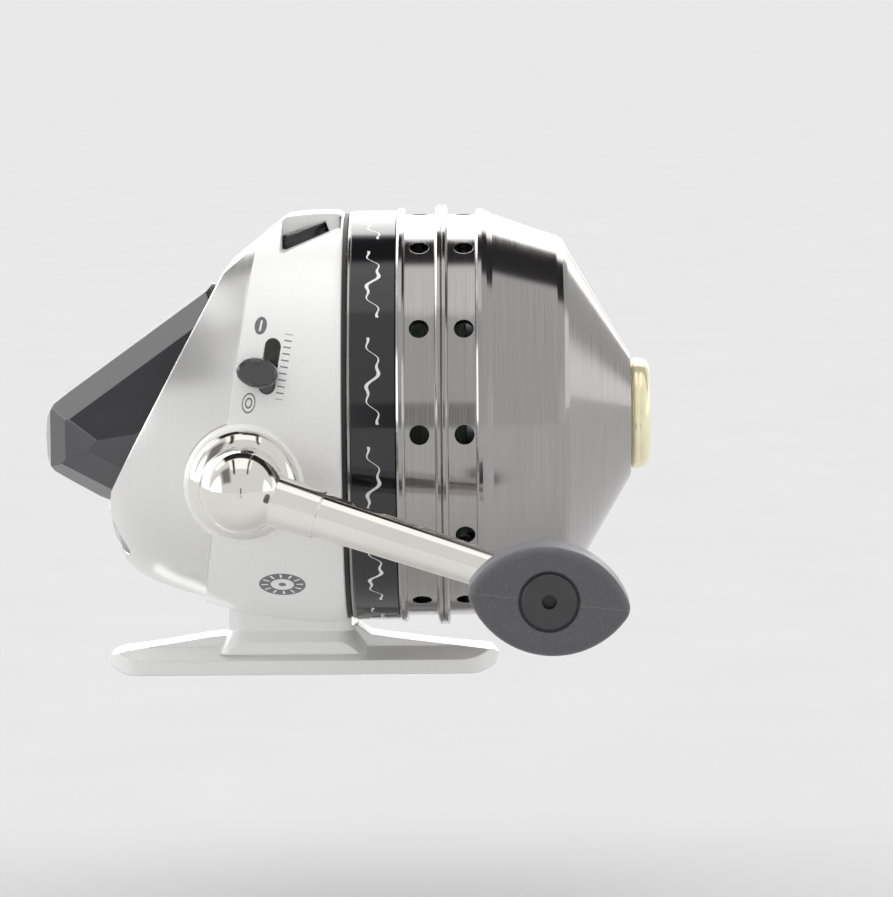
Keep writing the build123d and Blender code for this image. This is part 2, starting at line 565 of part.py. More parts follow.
# ----------------------------------------------------------------- anti-reverse
pawl_points = [(-5.83, 40.78), (-4.9, 41.35), (-2.2, 41.5), (2.0, 38.9), (PAWL_PIVOT[0] - 1.0, PAWL_PIVOT[1] - 2.3),
               (PAWL_PIVOT[0] + 2.0, PAWL_PIVOT[1] - 1.6), (PAWL_PIVOT[0] + 2.2, PAWL_PIVOT[1] + 1.4),
               (PAWL_PIVOT[0] - 0.6, PAWL_PIVOT[1] + 2.4), (-4.6, 44.2), (-5.9, 43.4)]
PAWL_OFF = 10.5                    # the lever holds the pawl this many degrees clear of the ratchet
pawl_points = [turned_about(p, PAWL_PIVOT, -PAWL_OFF) for p in pawl_points]
pawl = slab(pawl_points, PAWL_Y[0], PAWL_Y[1]) - y_rod(-18, -15, 1.3, *PAWL_PIVOT)
write("pawl", pawl)
write("pawl_pin", y_rod(-29.0, -15.0, 1.22, *PAWL_PIVOT) + y_rod(-15.6, -14.8, 2.0, *PAWL_PIVOT))
spring_coil = coil((PAWL_PIVOT[0], -21.0, PAWL_PIVOT[1]), (0, 1, 0), 1.85, 0.25, 5, 3.0)
write("pawl_spring", Part() + spring_coil)

switch_plane = Plane(origin=(SWITCH_CENTRE[0], -24.9, SWITCH_CENTRE[1]), x_dir=switch_dir, z_dir=(0, -1, 0))
lever = switch_plane * extrude(SlotOverall(3.8, 2.2), amount=7.4)
lever += switch_plane * extrude(RectangleRounded(4.2, 4.4, 0.8), amount=0.8)
lever_cap = Pos(SWITCH_CENTRE[0] - 1.55, 0, SWITCH_CENTRE[1] + 1.35) * extrude(
    Plane.XZ * Rot(0, 0, -12) * Ellipse(3.3, 2.35), amount=34.2)
lever_cap = lever_cap & block((-20, 10), (-34.2, -31.95), (30, 60))
lever_cap = fillet(lever_cap.edges().sort_by(Axis.Y)[0], 1.0)
# an inner link carries the pin down to the pawl
link = slab([(SWITCH_PIN[0] - 1.2, SWITCH_PIN[1]), (SWITCH_PIN[0] + 1.2, SWITCH_PIN[1] - 0.6),
             (SWITCH_CENTRE[0] + 1.4, SWITCH_CENTRE[1]), (SWITCH_CENTRE[0] - 1.4, SWITCH_CENTRE[1] + 0.6)], -25.9, -24.9)
lever = lever + lever_cap + link + y_rod(-25.9, -24.9, 1.2, *SWITCH_PIN) + y_rod(-25.0, -18.3, 0.8, *SWITCH_PIN)
write("anti_reverse_switch", lever)

# ------------------------------------------------------------ shaft and plunger
SHAFT_REAR_X = -25.0
thrust_groove = x_rod(-21.4, -20.9, 4) - x_rod(-21.4, -20.9, 1.3)
write("centre_shaft", x_rod(SHAFT_REAR_X, 37.8, SHAFT_R) - thrust_groove)
thrust = revolve(
    make_face(Polyline((-26.8, 0, AXIS_Z), (-26.6, 0, AXIS_Z + 1.8), (-25.8, 0, AXIS_Z + 3.2), (-24.8, 0, AXIS_Z + 3.6),
                       (-21.6, 0, AXIS_Z + 3.6), (-21.6, 0, AXIS_Z + SHAFT_R + RUNNING),
                       (-25.1, 0, AXIS_Z + SHAFT_R + RUNNING), (-25.1, 0, AXIS_Z), close=True)),
    axis=MAIN_AXIS, revolution_arc=360)
write("thrust_cap", thrust)
thrust_clip = turned([(-21.35, 1.35), (-20.95, 1.35), (-20.95, 3.0), (-21.35, 3.0)])
write("thrust_clip", thrust_clip - block((-22, -20), (-1.2, 1.2), (36, AXIS_Z)))
write("return_spring", Part() + coil((-20.6, 0, AXIS_Z), (1, 0, 0), 2.7, 0.3, 5, 4.2))

# ------------------------------------------------------------------------ spool
spool = turned([
    (SPOOL_REAR_X, TUBE_R + RUNNING), (SPOOL_FRONT_X, TUBE_R + RUNNING), (SPOOL_FRONT_X, 7.6), (27.9, 9.0),
    (27.9, 20.5), (SPOOL_FRONT_X, 21.6), (SPOOL_FRONT_X, SPOOL_FRONT_R), (28.2, SPOOL_FRONT_R + 0.3),
    (27.0, SPOOL_FRONT_R - 0.2), (26.6, SPOOL_CORE_R), (17.0, SPOOL_CORE_R), (16.4, SPOOL_REAR_R - 0.3),
    (15.4, SPOOL_REAR_R), (SPOOL_REAR_X, SPOOL_REAR_R - 0.4),
])
write("spool", spool)
winding = turned([(17.1, SPOOL_CORE_R + 0.05), (26.5, SPOOL_CORE_R + 0.05), (26.85, 19.4), (24.6, 20.2), (21.8, 20.5),
                  (19.0, 20.3), (16.7, 19.6)])
write("line_winding", winding)
write("spool_clip", turned([(29.25, TUBE_R - 0.55), (29.85, TUBE_R - 0.55), (29.85, 7.3), (29.25, 7.3)])
      - block((29, 30), (-2.4, 2.4), (30, 39)))

# ------------------------------------------------------------------------- drag
# the pressure plate has a tab that reaches back through the deck to the cam
TAB_REAR_X = 6.95
drag_plate = turned([(12.55, 9.0), (13.35, 9.0), (13.35, 21.0), (12.55, 21.0)])
drag_plate += block((TAB_REAR_X, 13.35), (-2.8, 2.8), (54.2, 55.8))
drag_plate += block((TAB_REAR_X, 8.6), (-2.8, 2.8), (54.2, 57.2))
write("drag_plate", drag_plate)
write("drag_felt", turned([(13.35, 10.0), (14.1, 10.0), (14.1, 20.0), (13.35, 20.0)]))

wheel = wheel_rod(-WHEEL_THICK / 2, WHEEL_THICK / 2, WHEEL_R)
for level in (-0.72, 0.0, 0.72):
    low, high = level - 0.16, level + 0.16
    wheel -= wheel_rod(low, high, WHEEL_R + 1) - wheel_rod(low, high, WHEEL_R - 0.3)
for i in range(6):
    a = radians(60 * i + 15)
    wheel -= wheel_rod(-3, 3, 0.9, along=4.6 * cos(a), y=4.6 * sin(a))
wheel -= wheel_rod(-3, 3, 1.25)
write("drag_wheel", wheel)
cam_spindle = wheel_rod(-13.0, WHEEL_THICK / 2, 1.2)
cam_spindle += wheel_rod(-POCKET_UP - 2.4, -WHEEL_THICK / 2 - 0.05, 1.7)
CAM_THROW = -0.3                   # the cam disc sits off the wheel axis by this much
write("drag_cam", cam_spindle + wheel_rod(-14.6, -12.6, 1.9, along=CAM_THROW))

# ------------------------------------------------------------------ spinner head
head = turned([
    (33.0, SHAFT_R), (36.0, SHAFT_R), (36.0, 4.6), (36.8, 6.0), (36.0, 9.0), (34.9, 17.5), (34.2, 21.0), (32.8, HEAD_R),
    (30.6, HEAD_R + 0.2), (30.5, HEAD_R - 1.4), (32.0, 20.8), (32.9, 19.4), (33.4, 10.0), (31.6, 6.5), (31.6, 5.0),
    (33.0, 4.4),
])
PIN_X = 32.4
for side in (-1, 1):
    head += rod((PIN_X, 0, AXIS_Z + side * 12.4), (0, 0, side), 2.0, 8.0)
for side in (-1, 1):
    head -= rod((PIN_X, 0, AXIS_Z + side * 8.0), (0, 0, side), 1.15, 20)
    head -= rod((PIN_X, 0, AXIS_Z + side * 8.2), (0, 0, side), 2.1, 4.2)
for i in range(4):
    head -= x_rod(30, 38, 2.6, *around_spool_axis(13.6, 45 + 90 * i))
write("spinner_head", head)
for name, side in (("pickup_pin_a", 1), ("pickup_pin_b", -1)):
    pin = rod((PIN_X, 0, AXIS_Z + side * 11.4), (0, 0, side), 1.1, PIN_REACH_R - 11.4)
    pin += rod((PIN_X, 0, AXIS_Z + side * 10.9), (0, 0, side), 1.9, 1.2)
    write(name, pin)
head_nut = extrude(Plane.YZ.offset(36.05) * Pos(0, AXIS_Z) * RegularPolygon(3.6, 6), amount=1.7)
write("spinner_nut", head_nut - x_rod(35, 40, SHAFT_R))

# ------------------------------------------------------------------ front cover
cover_skin = [
    (SEAM_X, COVER_BORE_R), (SEAM_X, 32.5), (8.55, 32.75), (BAND_FROM_X, 32.75), (BAND_FROM_X, BAND_SEAT_R),
    (BAND_TO_X, BAND_SEAT_R), (BAND_TO_X, 33.1), (16.45, 33.35), (17.0, 33.35), (17.35, 33.1), (17.4, 32.3),
    (22.1, 32.3), (22.2, 33.5), (22.5, 33.8), (23.0, 33.8), (23.15, 33.45), (23.3, 33.8), (23.8, 33.8),
    (24.1, 33.5), (24.2, 32.25), (28.5, 32.25), (28.6, 33.0), (28.9, 33.2), (29.5, 33.15), (30.3, 32.8),
    (31.2, 32.3), (41.4, 28.75), (42.4, 28.2), (43.1, 27.3), (COVER_NOSE_X, 10.1), (COVER_NOSE_X, GUIDE_BARREL_R + 0.1),
    (52.0, GUIDE_BARREL_R + 0.1), (51.6, 9.6), (42.0, 26.0), (40.9, 27.2), (30.0, 31.0),
]
cover = turned(cover_skin)
for row_x in VENT_ROWS_X:
    for i in range(VENTS_PER_ROW // 2):      # each drill crosses the cover and makes two vents
        a = 2 * pi * i / VENTS_PER_ROW
        direction = (0, cos(a), sin(a))
        start = (row_x, -40 * cos(a), AXIS_Z - 40 * sin(a))
        cover -= rod(start, direction, VENT_R, 80)
write("front_cover", cover)
write("cover_band", turned([
    (BAND_FROM_X + 0.02, BAND_SEAT_R + 0.03), (BAND_TO_X - 0.02, BAND_SEAT_R + 0.03), (BAND_TO_X - 0.02, BAND_R - 0.2),
    (BAND_TO_X - 0.2, BAND_R), (BAND_FROM_X + 0.2, BAND_R), (BAND_FROM_X + 0.02, BAND_R - 0.2)]))



def above_axis(x, r):
    """Point of an outline straight above the spool axis."""
    return (x, 0, AXIS_Z + r)


flange_x = COVER_NOSE_X + 0.02
barrel_rear = above_axis(50.0, GUIDE_BARREL_R)
flange_root = above_axis(flange_x, GUIDE_BARREL_R)
flange_edge = above_axis(flange_x, GUIDE_FLANGE_R - 0.5)
brow = above_axis(54.6, GUIDE_FLANGE_R - 0.1)
lip = above_axis(GUIDE_FRONT_X, 7.4)
throat = above_axis(54.0, GUIDE_BORE_R)
bore_end = above_axis(51.0, GUIDE_BORE_R)
bore_chamfer = above_axis(50.0, GUIDE_BORE_R + 0.7)
guide_profile = (
    Polyline(throat, bore_end, bore_chamfer, barrel_rear, flange_root, flange_edge)
    + ThreePointArc(flange_edge, above_axis(COVER_NOSE_X + 0.7, GUIDE_FLANGE_R), brow)
    + ThreePointArc(brow, above_axis(56.1, 8.1), lip)
    + ThreePointArc(lip, above_axis(55.7, 6.1), throat)
)
write("line_guide_ring", revolve(make_face(guide_profile), axis=MAIN_AXIS, revolution_arc=360))
guide_nut = extrude(Plane.YZ.offset(50.2) * Pos(0, AXIS_Z) * RegularPolygon(8.9, 6), amount=1.4)
write("guide_nut", guide_nut - x_rod(50, 53, GUIDE_BARREL_R))
write("brake_ring", turned([(38.6, 26.6), (39.9, 26.6), (39.9, 27.4), (38.6, 27.85)]))

# ----------------------------------------------------------------- thumb button
def button_form(side, inset):
    """Button body from its side outline; the inset form hollows it out."""
    form = slab(side, -30, 30) & button_opening(-inset, 0, 30)
    return form & under_facets(inset) & button_plan(inset)


button = button_form(button_side, 0)
button -= button_form(button_inner, 1.8)
button += block((-38.6, -27.05), (-2.6, 2.6), (37.6, 41.6)) + block((-38.6, -34.0), (-9.0, 9.0), (36.6, 37.8))
for side in (-1, 1):
    ear_y = min(side * EAR_FROM, side * (EAR_FROM + 2.4))
    button += rod((BUTTON_PIVOT[0], ear_y, BUTTON_PIVOT[1]), (0, 1, 0), 2.0, 2.4)
button -= y_rod(-PIN_HALF, PIN_HALF, 1.05, *BUTTON_PIVOT)
write("thumb_button", button)
write("button_pin", y_rod(-PIN_HALF, PIN_HALF, 1.0, *BUTTON_PIVOT))

# ------------------------------------------------------------------------ crank
cup_profile = (
    Line((0, -33.25), (CUP_R, -33.25)) + Line((CUP_R, -33.25), (CUP_R, -33.7))
    + ThreePointArc((CUP_R, -33.7), (CUP_R - 0.9, -34.9), (6.4, -35.6)) + Line((6.4, -35.6), (0, -36.0))
    + Line((0, -36.0), (0, -33.25))
)
cup = revolve(make_face(cup_profile), axis=Axis.Y, revolution_arc=360)
cup = Pos(CRANK_X, 0, CRANK_Z) * cup - y_rod(-36, -32, CRANK_SHAFT_R)
hub = Pos(CRANK_X, HUB_Y, CRANK_Z) * Rot(90, 0, 0) * Sphere(HUB_R)
write("crank_cup", cup - hub)

arm_vector = Vector(KNOB_X - CRANK_X, ARM_END_Y - HUB_Y, KNOB_Z - CRANK_Z)
arm_length = arm_vector.length
arm_dir = arm_vector / arm_length


def along_arm(distance):
    """Point on the centre line of the arm, from the middle of the hub."""
    return tuple(Vector(CRANK_X, HUB_Y, CRANK_Z) + arm_dir * distance)


# a collar next to the hub, then the slightly tapered arm
crank_arm = hub + cone(along_arm(4.0), arm_dir, 4.1, 3.75, 8.6)
crank_arm += cone(along_arm(12.0), arm_dir, 3.5, 2.85, arm_length - 12.6)
crank_arm += rod((KNOB_X, ARM_END_Y - 3.2, KNOB_Z), (0, 1, 0), 4.6, 6.0)
crank_arm -= y_rod(-39.65, -30, CRANK_SHAFT_R)
crank_arm -= rod((KNOB_X, -56, KNOB_Z), (0, 1, 0), 1.6, 20)
write("crank_arm", crank_arm)

post = rod((KNOB_X, -59.7, KNOB_Z), (0, 1, 0), 1.55, 16.1) + rod((KNOB_X, -50.95, KNOB_Z), (0, 1, 0), 2.6, 0.7)
post -= rod((KNOB_X, -60.3, KNOB_Z), (0, 1, 0), 0.85, 6)
write("knob_post", post)
# the knob outline is an almond of two arcs with rounded tips
half_width = 8.3
half_length = 12.5
almond = make_face(
    ThreePointArc((-half_length, 0), (0, half_width), (half_length, 0))
    + ThreePointArc((half_length, 0), (0, -half_width), (-half_length, 0))
)
almond = fillet(almond.vertices(), 2.8)
knob_seat = Plane(origin=(KNOB_X, KNOB_BACK_Y, KNOB_Z), x_dir=(cos(radians(KNOB_TILT)), 0, -sin(radians(KNOB_TILT))),
                  z_dir=(0, -1, 0))
knob = extrude(almond, amount=KNOB_BACK_Y - KNOB_FRONT_Y)
knob = fillet(knob.faces().sort_by(Axis.Z)[-1].edges(), 1.5)
knob = fillet(knob.faces().sort_by(Axis.Z)[0].edges(), 2.2)
knob = knob_seat * knob
knob -= rod((KNOB_X, -63, KNOB_Z), (0, 1, 0), 1.6, 14)
knob -= rod((KNOB_X, -63, KNOB_Z), (0, 1, 0), 4.64, 1.8)
knob -= rod((KNOB_X, -63, KNOB_Z), (0, 1, 0), 3.4, 3.4)
write("knob_grip", knob)
knob_cap = rod((KNOB_X, -62.1, KNOB_Z), (0, 1, 0), 4.25, 0.9)
knob_cap = fillet(knob_cap.edges().filter_by(GeomType.CIRCLE).sort_by(Axis.Y)[0], 0.4)
knob_cap -= rod((KNOB_X, -63, KNOB_Z), (0, 1, 0), 1.1, 4)
write("knob_cap", knob_cap)
knob_screw = rod((KNOB_X, -60.0, KNOB_Z), (0, 1, 0), 0.8, 5) + rod((KNOB_X, -60.5, KNOB_Z), (0, 1, 0), 2.6, 0.8)
write("knob_screw", knob_screw)
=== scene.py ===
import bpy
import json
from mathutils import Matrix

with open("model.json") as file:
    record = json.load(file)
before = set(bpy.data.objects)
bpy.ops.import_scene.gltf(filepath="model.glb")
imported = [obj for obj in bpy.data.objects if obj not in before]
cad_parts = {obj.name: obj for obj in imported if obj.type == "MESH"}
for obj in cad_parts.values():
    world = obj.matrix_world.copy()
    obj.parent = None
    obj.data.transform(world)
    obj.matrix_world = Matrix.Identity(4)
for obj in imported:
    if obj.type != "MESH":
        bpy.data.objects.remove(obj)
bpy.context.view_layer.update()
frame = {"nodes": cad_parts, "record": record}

import json
import math

import bpy
import bmesh
from mathutils import Matrix, Vector

# ---------------------------------------------------------------- sizes, metres
MM = 0.001
AXIS_Z = 40 * MM                   # height of the spool axis above the foot seat
KNOB_X = 39.3 * MM                 # middle of the knob
KNOB_Z = 17.8 * MM
KNOB_TILT = 7.0                    # degrees, of its long axis
BAND_X = 12.5 * MM                 # middle of the black band
LINE_DIAMETER = 0.45 * MM          # one strand of fishing line
PRINT_SIDE_Y = -15 * MM            # the grey print is in front of this plane only
FLOOR_Z = -40 * MM                 # low enough for the crank to swing clear of the floor

# ------------------------------------------------------ camera, degrees and metres
CAMERA_DISTANCE = 0.80
CAMERA_ELEVATION = 6.0
CAMERA_AZIMUTH = 0.5
CAMERA_ROLL = 0.5                  # right side of the picture up
CAMERA_LENS = 200.0                # on a 36 mm wide sensor
VIEW_CENTRE_X = 23.607 * MM        # the middle of the picture is here along the spool axis
VIEW_CENTRE_DOWN = 5.492 * MM      # and this far below it

# --------------------------------------------- grey print, millimetres in side view
SWITCH_TILT = -12.0                # the switch marks lean with the edge of the body
ON_MARK = dict(centre=(-4.85, 56.8), radii=(0.95, 1.35), tilt=SWITCH_TILT)
ON_MARK_BAR = (0.16, 0.6)          # unprinted bar in the oval, as parts of its radii
OFF_MARK = dict(centre=(-6.7, 45.1), radii=(1.05, 1.6), tilt=SWITCH_TILT)
OFF_MARK_RINGS = [(0.84, 1.0), (0.36, 0.54)]
TRAVEL_SCALE = dict(centre=(-1.2, 50.6), radii=(0.6, 5.0), tilt=-9.0)
TICKS_PER_HALF = 5.0
TICK_OFFSET = 0.1
TICK_SHARE = 0.2                   # of the distance from one tick to the next
DIAL = dict(centre=(-2.25, 15.4), radii=(3.7, 2.0))
DIAL_RING = (0.50, 1.0)
DIAL_NOTCHES = 12.0
DIAL_NOTCH_SHARE = 0.22
DIAL_NOTCH_SPAN = (0.60, 0.90)
DIAL_DOT = 0.16
PRINT_COLOUR = (0.09, 0.09, 0.10)
PRINT_COVER = 0.9                  # how much of the paint the print hides

# ----------------------------------------------------------- pattern on the band
BAND_REPEATS = 12.0                # waves round the band
WAVE_SIZE = 1.0 * MM
CURL_SIZE = 0.35 * MM              # faster ripple on each wave
CURLS_PER_WAVE = 3.0
WAVE_LINE_WIDTH = 0.20 * MM
WAVE_LINE_SWELL = 0.12 * MM        # the line gets thicker and thinner by this much
WAVE_SHARE = 0.40                  # half of the repeat that carries the wave
WORN_BELOW = 0.33                  # the print is missing where the wear noise is lower


# -------------------------------------------------------------------- node graphs
class NodeGraph:
    """Adds nodes to a node tree; a value is a number or the output of another node."""

    def __init__(self, tree):
        self.tree = tree
        self.tree.nodes.clear()

    def link(self, source, target):
        self.tree.links.new(source, target)

    def feed(self, socket, value):
        """Links the value to the socket, or stores it there when it is a plain number or colour."""
        if isinstance(value, bpy.types.NodeSocket):
            self.link(value, socket)
        elif isinstance(value, tuple) and len(value) == 3 and len(socket.default_value) == 4:
            socket.default_value = (*value, 1)
        else:
            socket.default_value = value

    def put(self, kind, **inputs):
        """Adds a node; input names have underscores for spaces."""
        node = self.tree.nodes.new(kind)
        for key, value in inputs.items():
            self.feed(node.inputs[key.replace("_", " ")], value)
        return node

    def math(self, operation, a, b=0.0, c=0.0, clamp=False):
        node = self.tree.nodes.new("ShaderNodeMath")
        node.operation = operation
        node.use_clamp = clamp
        for socket, value in zip(node.inputs, (a, b, c)):
            self.feed(socket, value)
        return node.outputs[0]

    def plus(self, a, b):
        return self.math("ADD", a, b)

    def minus(self, a, b, clamp=False):
        return self.math("SUBTRACT", a, b, clamp=clamp)

    def times(self, a, b):
        return self.math("MULTIPLY", a, b)

    def larger(self, a, b):
        return self.math("MAXIMUM", a, b)

    def below(self, value, limit):
        """1 where the value is less than the limit."""
        return self.math("LESS_THAN", value, limit)

    def above(self, value, limit):
        return self.math("GREATER_THAN", value, limit)

    def near_zero(self, value, limit):
        """1 where the value is less than the limit either side of 0."""
        return self.below(self.math("ABSOLUTE", value), limit)

    def between(self, value, low, high):
        return self.times(self.above(value, low), self.below(value, high))

    def spread(self, value, low, high, to_low=0.0, to_high=1.0, interpolation="LINEAR"):
        """Maps low..high to to_low..to_high, and stays at the ends outside that."""
        node = self.put("ShaderNodeMapRange", From_Min=low, From_Max=high, To_Min=to_low, To_Max=to_high)
        node.interpolation_type = interpolation
        node.clamp = True
        self.link(value, node.inputs["Value"])
        return node.outputs["Result"]


class Shader(NodeGraph):
    """A node material built up step by step."""

    def __init__(self, name):
        self.material = bpy.data.materials.new(name)
        self.material.use_nodes = True
        super().__init__(self.material.node_tree)
        output = self.tree.nodes.new("ShaderNodeOutputMaterial")
        self.bsdf = self.tree.nodes.new("ShaderNodeBsdfPrincipled")
        self.link(self.bsdf.outputs[0], output.inputs["Surface"])
        self.coords = self.tree.nodes.new("ShaderNodeTexCoord").outputs["Object"]

    def noise(self, scale, detail, rough=0.55, at=None):
        """Noise between 0 and 1 at the shaded point, or at another vector."""
        node = self.put("ShaderNodeTexNoise", Scale=scale, Detail=detail, Roughness=rough)
        self.link(at or self.coords, node.inputs["Vector"])
        return node.outputs["Fac"]

    def mix(self, factor, a, b):
        """Colour a where the factor is 0, and b where it is 1."""
        node = self.tree.nodes.new("ShaderNodeMix")
        node.data_type = "RGBA"
        for index, value in ((0, factor), (6, a), (7, b)):      # the mix node's colour inputs
            if index == 0 or isinstance(value, bpy.types.NodeSocket):
                self.feed(node.inputs[index], value)
            else:
                node.inputs[index].default_value = (*value, 1)
        return node.outputs[2]

    def mottle(self, noise, a, b, low=0.3, high=0.7, amount=1.0):
        """Goes from colour a to colour b as the noise goes from low to high."""
        return self.mix(self.spread(noise, low, high, 0.0, amount), a, b)

    def bump(self, height, strength, distance=0.2 * MM, after=None):
        """Normal of a surface with this height, on top of another normal."""
        node = self.put("ShaderNodeBump", Strength=strength, Distance=distance)
        self.link(height, node.inputs["Height"])
        if after is not None:
            self.link(after, node.inputs["Normal"])
        return node.outputs[0]

    def rounded(self, radius_mm):
        """Normal that softens sharp edges to a small radius."""
        node = self.put("ShaderNodeBevel", Radius=radius_mm * MM)
        node.samples = 6
        return node.outputs[0]

    def around_axis(self):
        """Distance along the spool axis, and angle round it in turns."""
        split = self.put("ShaderNodeSeparateXYZ", Vector=self.coords)
        up = self.minus(split.outputs["Z"], AXIS_Z)
        angle = self.math("ARCTAN2", split.outputs["Y"], up)
        return split.outputs["X"], self.math("DIVIDE", angle, 2 * math.pi)

    def turned_lines(self, along, around, detail, rough=0.55):
        """Noise drawn out round the spool axis: along is per metre, around is per turn."""
        x, angle = self.around_axis()
        lines = self.put("ShaderNodeCombineXYZ", X=self.times(x, along), Y=self.times(angle, around))
        return self.noise(1.0, detail, rough, at=lines.outputs[0])

    def smudged(self, base, amount):
        """Roughness with faint smudges."""
        return self.spread(self.noise(90, 5), 0.3, 0.7, base - amount, base + amount)

    def finish(self, **inputs):
        """Sets the inputs of the surface and gives back the material."""
        for key, value in inputs.items():
            self.feed(self.bsdf.inputs[key.replace("_", " ")], value)
        return self.material


def darker(colour, share):
    return tuple(channel * share for channel in colour)


def metal(name, colour, roughness, grain_strength=0.04):
    """Plain cast or machined metal with fine grain."""
    s = Shader(name)
    grain = s.noise(2400, 6)
    return s.finish(
        Base_Color=s.mottle(grain, darker(colour, 0.94), colour),
        Roughness=s.smudged(roughness, 0.03),
        Metallic=1.0,
        Normal=s.bump(grain, grain_strength, 0.05 * MM),
        Coat_Roughness=0.06)


def plastic(name, colour, roughness, coat=0.0):
    """Moulded plastic or rubber with fine grain."""
    s = Shader(name)
    grain = s.noise(900, 3)
    return s.finish(
        Base_Color=s.mottle(grain, darker(colour, 0.9), colour),
        Roughness=s.smudged(roughness, 0.04),
        Metallic=0.0,
        Normal=s.bump(grain, 0.06, 0.06 * MM),
        Coat_Weight=coat,
        Coat_Roughness=0.04)


# ------------------------------------------------------------------- materials
def oval_distance(s, flat, centre, radii, tilt=0.0):
    """Distance from the middle of a tilted oval in side view (1 on its edge), and its two parts."""
    cosine = math.cos(math.radians(tilt))
    sine = math.sin(math.radians(tilt))
    dx = s.minus(flat[0], centre[0] * MM)
    dz = s.minus(flat[1], centre[1] * MM)
    along = s.plus(s.times(dx, cosine), s.times(dz, sine))
    across = s.minus(s.times(dz, cosine), s.times(dx, sine))
    u = s.math("DIVIDE", along, radii[0] * MM)
    v = s.math("DIVIDE", across, radii[1] * MM)
    reach = s.math("SQRT", s.plus(s.times(u, u), s.times(v, v)))
    return reach, u, v


def printed_marks(s):
    """Mask of the grey print on the crank side: two switch marks, a travel scale and a dial ring."""
    split = s.put("ShaderNodeSeparateXYZ", Vector=s.coords)
    flat = (split.outputs["X"], split.outputs["Z"])

    on_mark, u, v = oval_distance(s, flat, **ON_MARK)
    bar = s.times(s.near_zero(u, ON_MARK_BAR[0]), s.near_zero(v, ON_MARK_BAR[1]))
    mark = s.minus(s.below(on_mark, 1.0), bar, clamp=True)

    off_mark, u, v = oval_distance(s, flat, **OFF_MARK)
    for ring in OFF_MARK_RINGS:
        mark = s.larger(mark, s.between(off_mark, *ring))

    reach, u, v = oval_distance(s, flat, **TRAVEL_SCALE)
    inside = s.times(s.near_zero(u, 1.0), s.near_zero(v, 1.0))
    step = s.math("FRACT", s.math("MULTIPLY_ADD", v, TICKS_PER_HALF, TICK_OFFSET))
    mark = s.larger(mark, s.times(inside, s.below(step, TICK_SHARE)))

    dial, u, v = oval_distance(s, flat, **DIAL)
    turns = s.math("DIVIDE", s.math("ARCTAN2", v, u), 2 * math.pi)
    step = s.math("FRACT", s.times(turns, DIAL_NOTCHES))
    notch = s.times(s.below(step, DIAL_NOTCH_SHARE), s.between(dial, *DIAL_NOTCH_SPAN))
    mark = s.larger(mark, s.minus(s.between(dial, *DIAL_RING), notch, clamp=True))
    mark = s.larger(mark, s.below(dial, DIAL_DOT))
    return s.times(mark, s.below(split.outputs["Y"], PRINT_SIDE_Y))


def satin_paint():
    """Silver paint with a fine sparkle and grey print."""
    s = Shader("satin_silver")
    sparkle = s.noise(4200, 2)
    cloud = s.noise(45, 4)
    shade = s.mottle(sparkle, (0.86, 0.865, 0.85), (0.94, 0.94, 0.925), 0.35, 0.75)
    shade = s.mottle(cloud, shade, (0.86, 0.86, 0.84), 0.35, 0.65, amount=0.15)
    shade = s.mix(s.times(printed_marks(s), PRINT_COVER), shade, PRINT_COLOUR)
    return s.finish(
        Base_Color=shade,
        Roughness=s.spread(cloud, 0.3, 0.7, 0.32, 0.40),
        Metallic=0.12,
        Normal=s.bump(sparkle, 0.08, 0.03 * MM, after=s.rounded(0.35)),
        Coat_Weight=0.35,
        Coat_Roughness=0.14)


def brushed_shell():
    """Brushed satin metal of the rear cover: fine lines round the shell."""
    s = Shader("brushed_silver")
    grain = s.turned_lines(5200, 5, detail=3)
    sparkle = s.noise(4200, 2)
    shade = s.mottle(grain, (0.80, 0.80, 0.785), (0.85, 0.85, 0.835))
    shade = s.mottle(sparkle, shade, (0.92, 0.92, 0.91), 0.4, 0.8, amount=0.2)
    return s.finish(
        Base_Color=shade,
        Roughness=s.spread(grain, 0.3, 0.7, 0.23, 0.26),
        Metallic=0.85,
        Normal=s.rounded(0.5))


def brushed_steel():
    """Dark spun stainless steel: lines run round the cover."""
    s = Shader("spun_steel")
    grain = s.turned_lines(6500, 9, detail=4, rough=0.6)
    broad = s.turned_lines(900, 3, detail=4)
    shade = s.mottle(grain, (0.35, 0.335, 0.335), (0.46, 0.445, 0.44), 0.25, 0.75)
    shade = s.mottle(broad, shade, (0.37, 0.355, 0.35), 0.35, 0.65, amount=0.3)
    tangent = s.put("ShaderNodeTangent")
    tangent.direction_type = "RADIAL"
    tangent.axis = "X"
    return s.finish(
        Base_Color=shade,
        Roughness=s.spread(grain, 0.3, 0.7, 0.11, 0.16),
        Metallic=1.0,
        Normal=s.bump(grain, 0.03, 0.02 * MM, after=s.rounded(0.12)),
        Anisotropic=0.5,
        Anisotropic_Rotation=0.25,
        Tangent=tangent.outputs[0])


def chrome():
    """Warm polished plating with faint smears."""
    s = Shader("chrome")
    smear = s.noise(70, 4)
    return s.finish(
        Base_Color=s.mottle(smear, (0.82, 0.80, 0.755), (0.88, 0.86, 0.82)),
        Roughness=s.spread(smear, 0.35, 0.65, 0.04, 0.07),
        Metallic=1.0,
        Normal=s.bump(smear, 0.02, 0.04 * MM, after=s.rounded(0.25)))


def gold_plate():
    """Pale gold plating of the line guide."""
    s = Shader("gold_plate")
    smear = s.noise(120, 4)
    return s.finish(
        Base_Color=s.mottle(smear, (1.0, 0.92, 0.60), (1.0, 0.95, 0.70)),
        Roughness=s.spread(smear, 0.35, 0.65, 0.14, 0.20),
        Metallic=0.55,
        Normal=s.bump(smear, 0.03, 0.04 * MM))


